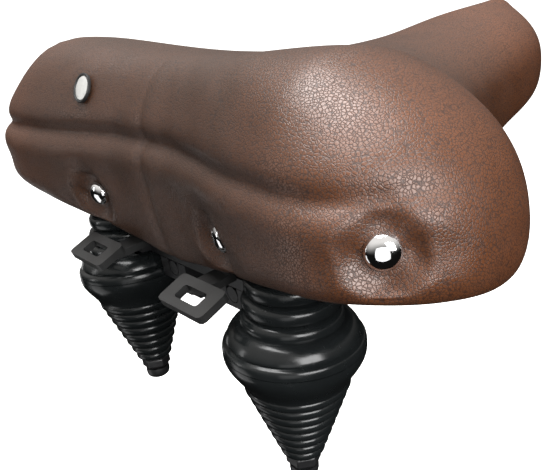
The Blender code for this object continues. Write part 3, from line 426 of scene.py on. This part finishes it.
def rubber():
    """Glossy moulded rubber, with faint flow marks and handling dust."""
    finish = Finish("glossy_rubber", (0.006, 0.0068, 0.007), 0.22)
    patch = finish.noise(70, 4, 0.6)
    finish.drive("Base Color", finish.blend(patch, (0.004, 0.0048, 0.005), (0.010, 0.0115, 0.012)))
    finish.drive("Roughness", finish.spread(finish.noise(220, 4, 0.65), 0.3, 0.7, 0.15, 0.30))
    finish.drive("Normal", finish.bump(finish.noise(420, 3, 0.5), 0.08, 0.0004))
    finish.shader.inputs["Specular IOR Level"].default_value = 0.32
    return finish.material


def moulded_plastic(name, shade, rough):
    """Moulded plastic with a fine spark-eroded texture."""
    finish = Finish(name, (shade,) * 3, rough)
    patch = finish.noise(60, 3, 0.6)
    finish.drive("Base Color", finish.blend(patch, (shade * 0.8,) * 3, (shade * 1.4,) * 3))
    finish.drive("Roughness", finish.spread(patch, 0.3, 0.7, rough - 0.06, rough + 0.08))
    finish.drive("Normal", finish.bump(finish.noise(1500, 2, 0.5), 0.12, 0.0002))
    return finish.material


def coated_steel():
    """Black-coated steel, a little rubbed to metal on raised spots."""
    finish = Finish("black_coated_steel", (0.02, 0.02, 0.021), 0.35, 0.3)
    rub = finish.spread(finish.noise(38, 6, 0.72), 0.60, 0.74, 0.0, 0.5)
    finish.drive("Base Color", finish.blend(rub, (0.016, 0.016, 0.017), (0.10, 0.10, 0.105)))
    finish.drive("Roughness", finish.spread(finish.noise(260, 3, 0.6), 0.3, 0.7, 0.28, 0.46))
    finish.drive("Normal", finish.bump(finish.noise(900, 3, 0.5), 0.10, 0.0002))
    return finish.material


def zinc_steel():
    finish = Finish("zinc_plated_steel", (0.50, 0.50, 0.49), 0.3, 1.0)
    patch = finish.noise(120, 4, 0.6)
    finish.drive("Base Color", finish.blend(patch, (0.36, 0.36, 0.35), (0.62, 0.62, 0.60)))
    finish.drive("Roughness", finish.spread(finish.noise(340, 3, 0.6), 0.3, 0.7, 0.22, 0.42))
    finish.drive("Normal", finish.bump(finish.noise(1100, 2, 0.5), 0.08, 0.0002))
    return finish.material


def chrome():
    finish = Finish("polished_chrome", (0.86, 0.86, 0.87), 0.05, 1.0)
    haze = finish.noise(260, 4, 0.65)
    finish.drive("Roughness", finish.spread(haze, 0.35, 0.75, 0.035, 0.11))
    finish.drive("Base Color", finish.blend(haze, (0.80, 0.80, 0.81), (0.92, 0.92, 0.93)))
    finish.drive("Normal", finish.bump(finish.noise(150, 2, 0.5), 0.03, 0.0003))
    return finish.material


def foam():
    finish = Finish("open_cell_foam", (0.70, 0.63, 0.46), 0.9)
    holes = finish.cells(900, "F1")
    finish.drive("Base Color", finish.blend(holes, (0.74, 0.67, 0.50), (0.46, 0.40, 0.28)))
    finish.drive("Normal", finish.bump(holes, 0.5, 0.0004))
    return finish.material


def badge_grey():
    finish = Finish("badge_grey", (0.42, 0.42, 0.41), 0.35, 0.4)
    finish.drive("Roughness", finish.spread(finish.noise(500, 3, 0.6), 0.3, 0.7, 0.28, 0.45))
    patch = finish.noise(900, 2, 0.5)
    finish.drive("Base Color", finish.blend(patch, (0.36, 0.36, 0.35), (0.50, 0.50, 0.48)))
    return finish.material


FINISHES = {
    "leatherette": leatherette(),
    "boot_rubber": rubber(),
    "shell_plastic": moulded_plastic("shell_plastic_black", 0.008, 0.42),
    "black_steel": coated_steel(),
    "zinc_steel": zinc_steel(),
    "chrome": chrome(),
    "foam": foam(),
    "badge": badge_grey(),
}


def repaint_cad_nodes():
    """Gives every node of the CAD the finish of its slot."""
    slots = {row["node"]: row["material_slot"] for row in frame["record"]["subparts"]}
    for name, node in frame["nodes"].items():
        for index in range(max(len(node.material_slots), 1)):
            if not node.material_slots:
                node.data.materials.append(None)
            node.material_slots[index].material = FINISHES[slots[name]]


# ---------------------------------------------------------------- building pieces
def piece(name, mesh, slot, body, smooth_angle=None, where=None):
    made = bpy.data.objects.new(name, mesh)
    bpy.context.scene.collection.objects.link(made)
    mesh.materials.append(FINISHES[slot])
    if where is not None:
        mesh.transform(where)
    mesh.shade_smooth()
    if smooth_angle:
        mesh.set_sharp_from_angle(angle=math.radians(smooth_angle))
    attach(made, body)
    return made


def lathe_mesh(name, profile, steps=72, ring=True):
    """A turned mesh about Z from (radius, height) points, down the outside and back up the inside."""
    points = np.array(profile, float)
    turn = np.linspace(0, 2 * math.pi, steps, endpoint=False)
    shape = bmesh.new()
    rows = []
    for radius, height in points:
        if radius < 1e-7:
            rows.append([shape.verts.new((0, 0, height))] * steps)
        else:
            rows.append([
                shape.verts.new((radius * math.cos(a), radius * math.sin(a), height)) for a in turn
            ])
    pairs = list(zip(rows[:-1], rows[1:]))
    if ring:
        pairs.append((rows[-1], rows[0]))
    for upper, lower in pairs:
        for i in range(steps):
            j = (i + 1) % steps
            corners = []
            for vert in (upper[i], lower[i], lower[j], upper[j]):
                if vert not in corners:
                    corners.append(vert)
            if len(corners) > 2:
                shape.faces.new(corners)
    bmesh.ops.recalc_face_normals(shape, faces=shape.faces)
    mesh = bpy.data.meshes.new(name)
    shape.to_mesh(mesh)
    shape.free()
    return mesh


def rounded(points, rounds=2):
    """Cuts the corners of an open profile, in so many rounds, so that it turns smoothly."""
    points = [np.array(point, float) for point in points]
    for _ in range(rounds):
        cut = [points[0]]
        for first, second in zip(points[:-1], points[1:]):
            cut.append(first * 0.75 + second * 0.25)
            cut.append(first * 0.25 + second * 0.75)
        cut.append(points[-1])
        points = cut
    return [tuple(point) for point in points]


def box_mesh(name, size):
    """A box with slightly bevelled edges."""
    shape = bmesh.new()
    bmesh.ops.create_cube(shape, size=1.0)
    bmesh.ops.scale(shape, verts=shape.verts, vec=size)
    bmesh.ops.bevel(shape, geom=list(shape.edges), offset=0.0008, segments=2, profile=0.5,
                    affect="EDGES")
    mesh = bpy.data.meshes.new(name)
    shape.to_mesh(mesh)
    shape.free()
    return mesh


def apply_modifiers(thing):
    graph = bpy.context.evaluated_depsgraph_get()
    made = bpy.data.meshes.new_from_object(thing.evaluated_get(graph))
    thing.modifiers.clear()
    thing.data = made


# ---------------------------------------------------------------- the cover
def upholstery(points, out, heading):
    """Pushes the plain surface into its crease, dimples and pull folds."""
    turned_to = np.abs(heading)
    fade = 1 - smooth_step(turned_to, *CREASE_FADES)
    level = points[..., 2] - CREASE_HEIGHT
    crease = sum(depth * np.exp(-(((level - above) / spread) ** 2)) for depth, above, spread in CREASE_BANDS)
    moved = points - out * (fade * crease)[..., None]
    for _, where, height in RIVETS:
        centre, along, up, away = rivet_frame(where, height)
        offset = points - centre
        du, dv, dn = offset @ along * np.sign(where), offset @ up, offset @ away
        reach = np.sqrt(du**2 + dv**2 + (0.5 * dn) ** 2)
        hole = DIMPLE_DEPTH * (1 - smooth_step(reach, *DIMPLE_EDGES))
        pull = 0.0008 * np.exp(-((reach / 0.0190) ** 2)) * (1 - hole / DIMPLE_DEPTH)
        near = np.exp(-((dn / 0.02) ** 2))
        folds = np.zeros_like(reach)
        for lean, depth, length in FOLDS:
            slope = math.radians(lean)
            ray = du * math.cos(slope) + dv * math.sin(slope)
            side = -du * math.sin(slope) + dv * math.cos(slope)
            width = 0.0022 + 0.14 * np.clip(ray, 0, 1)
            there = smooth_step(ray, 0.004, 0.0105) * (1 - smooth_step(ray, length * 0.35, length))
            folds = folds + depth * there * np.exp(-((side / width) ** 2))
        # never more than a little below the CAD's own dimple, where the foam begins
        squared = (du**6 + dv**6 + (0.5 * dn) ** 6) ** (1 / 6)
        limit = DIMPLE_DEPTH * (1 - smooth_step(squared, *CAD_DIMPLE_EDGES)) + BELOW_CAD_DIMPLE
        press = np.minimum(hole + (pull + folds) * near, limit)
        moved = moved - away * press[..., None]
    return moved


def make_cover():
    """The cover as one padded surface, turned in at the bottom to the base shell's wall."""
    columns, top_rows, side_rows = 400, 24, 88
    # columns follow the outline's length, so that the cheeks get as many as the nose
    walk = np.linspace(-180, 180, 7201)
    edge = outline(walk)
    length = np.concatenate([[0], np.cumsum(np.linalg.norm(np.diff(edge, axis=0), axis=1))])
    half = np.interp(np.linspace(0, length[-1] / 2, columns // 2 + 1), length, walk)
    headings = np.concatenate([half, -half[-2:0:-1]])
    angles = np.concatenate([
        np.linspace(0, 50, top_rows, endpoint=False), np.linspace(50, 180, side_rows),
    ])
    heading, angle = np.meshgrid(headings, angles, indexing="xy")
    out = plain_normal(heading, angle)
    points = upholstery(plain(heading, angle), out, heading)
    points[0, :, 0] = 0.0
    inset = station(6, headings) + BASE_WALL + 0.0003
    square = inward(headings)
    tucked = station(5, headings)
    lip = []
    for share in (0.35, 0.7, 1.0):
        plan = outline(headings) + square * (tucked + (inset - tucked) * share)[:, None]
        lip.append(np.concatenate([plan, station(3, headings)[:, None]], axis=-1))
    rows = np.concatenate([points, np.array(lip)])
    count = len(headings)
    shape = bmesh.new()
    grid = [[shape.verts.new(point) for point in row] for row in rows]
    for upper, lower in zip(grid[:-1], grid[1:]):
        for i in range(count):
            j = (i + 1) % count
            shape.faces.new((upper[i], upper[j], lower[j], lower[i]))
    bmesh.ops.remove_doubles(shape, verts=shape.verts, dist=0.00001)
    bmesh.ops.recalc_face_normals(shape, faces=shape.faces)
    mesh = bpy.data.meshes.new("seat_cover")
    shape.to_mesh(mesh)
    shape.free()
    if np.mean([face.normal.z * (face.center.z - 0.05) for face in mesh.polygons]) < 0:
        mesh.flip_normals()
    cover = piece("seat_cover", mesh, "leatherette", TOP)
    wall = cover.modifiers.new("thickness", "SOLIDIFY")
    wall.thickness = COVER_THICKNESS
    wall.offset = -1.0
    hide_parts("cover")


# ---------------------------------------------------------------- rivets and badge
def facing(centre, out):
    """The matrix that puts a mesh at a place, with its Z along the direction out."""
    turn = Vector(out).to_track_quat("Z", "Y").to_matrix().to_4x4()
    return Matrix.Translation(Vector(centre)) @ turn


def make_rivets():
    dome = rounded([(0, 0.0034), (0.0030, 0.0032), (0.0049, 0.0019), (0.0054, 0.0007), (0.0054, 0.0003)], 3)
    shank = [(0.0051, 0.0002), (0.0021, 0.0002), (0.0021, -0.0040), (0, -0.0040)]
    for name, heading, height in RIVETS:
        centre, _, _, out = rivet_frame(heading, height)
        seat = centre - out * DIMPLE_DEPTH
        mesh = lathe_mesh(f"{name}_dome", dome + shank, 56, ring=False)
        head = piece(f"{name}_dome", mesh, "chrome", TOP, 40, facing(seat, out))
        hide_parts(name)


BADGE_HEADING, BADGE_ANGLE = -38.0, 46.0
BADGE_WIDTH, BADGE_HEIGHT = 0.0095, 0.0125


def make_badge():
    """A plain oval badge with a raised dark border."""
    low, high = (Vector(corner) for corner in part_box("badge"))
    middle = (low + high) / 2
    out = plain_normal(np.array(BADGE_HEADING), np.array(BADGE_ANGLE))
    where = facing(middle, out)
    squash = Matrix.Diagonal((BADGE_WIDTH / 2, BADGE_HEIGHT / 2, 1, 1))
    face = lathe_mesh("badge_face", rounded([(0, 0.0007), (0.55, 0.0006), (0.78, 0.0003)], 2)
                      + [(0.80, -0.0006), (0, -0.0006)], 48, ring=False)
    plate = piece("badge_face", face, "badge", TOP, 40, where @ squash)
    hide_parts("badge")
    rim = lathe_mesh("badge_border", [(0.98, -0.0006), (0.98, 0.0003), (0.94, 0.0007), (0.86, 0.0007),
                                      (0.82, 0.0003), (0.82, -0.0006)], 48)
    piece("badge_border", rim, "shell_plastic", TOP, 40, where @ squash)


# ---------------------------------------------------------------- the spring boots
SPRING_AT = (0.059, -0.075, -0.008)
LEAN_IN, LEAN_BACK = math.radians(3.4), math.radians(4.7)
BOOT_HEIGHT, BOOT_SINKS = 0.0465, 0.0103     # the bellows, and how far it is pushed in at the hinge's limit
SHELL_UNDERSIDE = 0.0457
LUG_LONG, LUG_WIDE, LUG_THICK = 0.0175, 0.009, 0.003
LIP_CUT_Y, LIP_CUT_LOW, LIP_CUT_SIZE = -0.1058, 0.0212, 0.05     # the room for the cover's lip
TOP_RING, LOW_RING = (0.0197, -0.0152), (0.0086, -0.0447)         # the cone's rings: radius, height


def spring_matrix(side):
    turn = Matrix.Rotation(side * LEAN_IN, 4, "Y") @ Matrix.Rotation(-LEAN_BACK, 4, "X")
    return Matrix.Translation((side * SPRING_AT[0], SPRING_AT[1], SPRING_AT[2])) @ turn


def bulge(radius, height, half, drop):
    """One rounded ring of a moulded boot, from its upper groove to its lower one."""
    return [
        (radius - drop, height + half),
        (radius - drop * 0.35, height + half * 0.80),
        (radius - drop * 0.02, height + half * 0.42),
        (radius, height),
        (radius - drop * 0.06, height - half * 0.45),
        (radius - drop * 0.40, height - half * 0.82),
        (radius - drop, height - half),
    ]


def make_neck(word, side, where):
    """The ribbed neck, slotted for the yoke, and the stem and lugs that hold it to the base shell."""
    outside = [(0, 0.0515), (0.0075, 0.0515), (0.0075, 0.0350), (0.0095, 0.0338), (0.0150, 0.0292)]
    for radius, height in ((0.0162, 0.0250), (0.0176, 0.0182), (0.0187, 0.0114)):
        outside += bulge(radius, height, 0.0032, 0.0021)
    inside = [(0.0150, 0.0081), (0.0128, 0.0081), (0.0128, 0.0265), (0.0083, 0.0322), (0, 0.0322)]
    mesh = lathe_mesh(f"{word}_boot_neck", outside + inside, 80, ring=False)
    neck = piece(f"{word}_boot_neck", mesh, "boot_rubber", TOP, 38, where)
    head = where @ Vector((0, 0, SHELL_UNDERSIDE - SPRING_AT[2]))
    lug_height = SHELL_UNDERSIDE - LUG_THICK / 2
    tools = []
    for label, size, at in (
        ("inner", (LUG_LONG, LUG_WIDE, LUG_THICK), (head.x - side * LUG_LONG / 2, head.y, lug_height)),
        ("front", (LUG_WIDE, LUG_LONG, LUG_THICK), (head.x, head.y + LUG_LONG / 2, lug_height)),
    ):
        tools.append((label, box_mesh("lug", size), Matrix.Translation(at), "UNION"))
    above = Matrix.Translation((side * SPRING_AT[0], SPRING_AT[1], SHELL_UNDERSIDE + 0.02))
    tools.append(("top", box_mesh("cut", (0.08, 0.08, 0.04)), above, "DIFFERENCE"))
    slot = where @ Matrix.Translation((-side * 0.020, 0, 0.0182))
    tools.append(("slot", box_mesh("cut", (0.03, 0.014, 0.0152)), slot, "DIFFERENCE"))
    lip = Matrix.Translation((side * SPRING_AT[0], LIP_CUT_Y, LIP_CUT_LOW + LIP_CUT_SIZE / 2))
    tools.append(("lip", box_mesh("cut", (LIP_CUT_SIZE,) * 3), lip, "DIFFERENCE"))
    for label, shape, at, operation in tools:
        shape.transform(at)
        tool = bpy.data.objects.new(f"{word}_neck_{label}", shape)
        bpy.context.scene.collection.objects.link(tool)
        step = neck.modifiers.new(label, "BOOLEAN")
        step.operation = operation
        step.solver = "EXACT"
        step.object = tool
        bpy.context.view_layer.update()
        apply_modifiers(neck)
        bpy.data.objects.remove(tool)
    neck.data.materials.clear()
    neck.data.materials.append(FINISHES["boot_rubber"])
    neck.data.shade_smooth()
    neck.data.set_sharp_from_angle(angle=math.radians(38))
    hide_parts(f"{word}_spring_sleeve")


def make_dome(word, where):
    """The domed cap that a boot's neck stands on."""
    outside = rounded([(0.0178, 0.0106), (0.0196, 0.0104), (0.0218, 0.0092), (0.0233, 0.0074),
                       (0.0241, 0.0058), (0.0243, 0.0050)], 2)
    outside += [(0.0238, 0.0046), (0.0238, 0.0043), (0.0245, 0.0039)]
    outside += rounded([(0.0245, 0.0039), (0.0256, 0.0033), (0.0260, 0.0018), (0.0260, 0.0003)], 2)[1:]
    inside = [(0.0246, 0.0003), (0.0236, 0.0031), (0.0168, 0.0078)]
    mesh = lathe_mesh(f"{word}_boot_cap", outside + inside, 96)
    cap = piece(f"{word}_boot_cap", mesh, "boot_rubber", TOP, 38, where)
    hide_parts(f"{word}_boot_dome")


def make_cone(word, where):
    """The stepped, tapering bellows."""
    outside = rounded([(0.0260, 0.0), (0.0260, -0.0018), (0.0254, -0.0040), (0.0236, -0.0072),
                       (0.0214, -0.0104), (0.0203, -0.0124), (0.0200, -0.0134)], 2)
    rings = 8
    for i in range(rings):
        share = i / (rings - 1)
        radius = TOP_RING[0] + (LOW_RING[0] - TOP_RING[0]) * share
        height = TOP_RING[1] + (LOW_RING[1] - TOP_RING[1]) * share
        outside += bulge(radius, height, 0.00195, 0.0016)
    outside += [(0.0075, -BOOT_HEIGHT)]
    inside = [(0.0069, -BOOT_HEIGHT), (0.0174, -0.0125), (0.0240, -0.0060), (0.0246, 0.0)]
    mesh = lathe_mesh(f"{word}_boot_bellows", outside + inside, 96)
    cone = piece(f"{word}_boot_bellows", mesh, "boot_rubber", FRAME, 38, where)
    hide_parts(f"{word}_boot_cone")
    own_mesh(cone)


def make_coil(word, where):
    """The coil inside a boot, standing on the washer at its foot and widening with the bellows."""
    turns, per_turn, wire, gap = 5.5, 28, 0.0013, 0.0003
    seat_underside, washer = 0.0056, 0.0012
    count = int(turns * per_turn) + 1
    top, low = seat_underside - wire - gap, -BOOT_HEIGHT + washer + wire + gap
    path = []
    for i in range(count):
        height = top + (low - top) * i / (count - 1)
        share = (height + BOOT_HEIGHT) / 0.0340
        radius = min(0.0180, 0.0069 + 0.0105 * share - wire - 0.0005)
        turn = 2 * math.pi * i / per_turn
        path.append(Vector((radius * math.cos(turn), radius * math.sin(turn), height)))
    curve = bpy.data.curves.new(f"{word}_coil", "CURVE")
    curve.dimensions = "3D"
    curve.bevel_depth = wire
    curve.bevel_resolution = 3
    curve.use_fill_caps = True
    spline = curve.splines.new("POLY")
    spline.points.add(count - 1)
    for point, at in zip(spline.points, path):
        point.co = (*at, 1)
    holder = bpy.data.objects.new("holder", curve)
    bpy.context.scene.collection.objects.link(holder)
    bpy.context.view_layer.update()
    graph = bpy.context.evaluated_depsgraph_get()
    mesh = bpy.data.meshes.new_from_object(holder.evaluated_get(graph))
    bpy.data.objects.remove(holder)
    mesh.materials.clear()
    coil = piece(f"{word}_coil", mesh, "zinc_steel", FRAME, 50, where)
    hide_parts(f"{word}_coil_spring")
    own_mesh(coil)


def make_foot(word, where):
    """The hex collar and the rounded nut under a boot."""
    collar = lathe_mesh(f"{word}_collar", [(0.0055, 0.0), (0.0069, -0.0012), (0.0069, -0.0046),
                                          (0.0055, -0.0057), (0.0033, -0.0057), (0.0033, 0.0)], 6)
    made = piece(f"{word}_collar", collar, "black_steel", FRAME, 25,
                 where @ Matrix.Translation((0, 0, -0.0468)))
    edge = made.modifiers.new("edges", "BEVEL")
    edge.width = 0.00035
    edge.segments = 2
    apply_modifiers(made)
    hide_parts(f"{word}_foot_collar")
    nut = rounded([(0.0056, 0.0), (0.0057, -0.0020), (0.0053, -0.0040), (0.0030, -0.0053), (0, -0.0055)], 3)
    bore = [(0, -0.0034), (0.0033, -0.0034), (0.0033, 0.0)]
    mesh = lathe_mesh(f"{word}_cap_nut", nut + bore, 40)
    made = piece(f"{word}_cap_nut", mesh, "black_steel", FRAME, 40,
                 where @ Matrix.Translation((0, 0, -0.0528)))
    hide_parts(f"{word}_end_nut")


def make_springs():
    for side, word in ((-1, "left"), (1, "right")):
        where = spring_matrix(side)
        make_neck(word, side, where)
        make_dome(word, where)
        make_cone(word, where)
        make_coil(word, where)
        make_foot(word, where)


aim_camera()
light_studio()
lay_floor()
repaint_cad_nodes()
make_cover()
make_rivets()
make_badge()
make_springs()
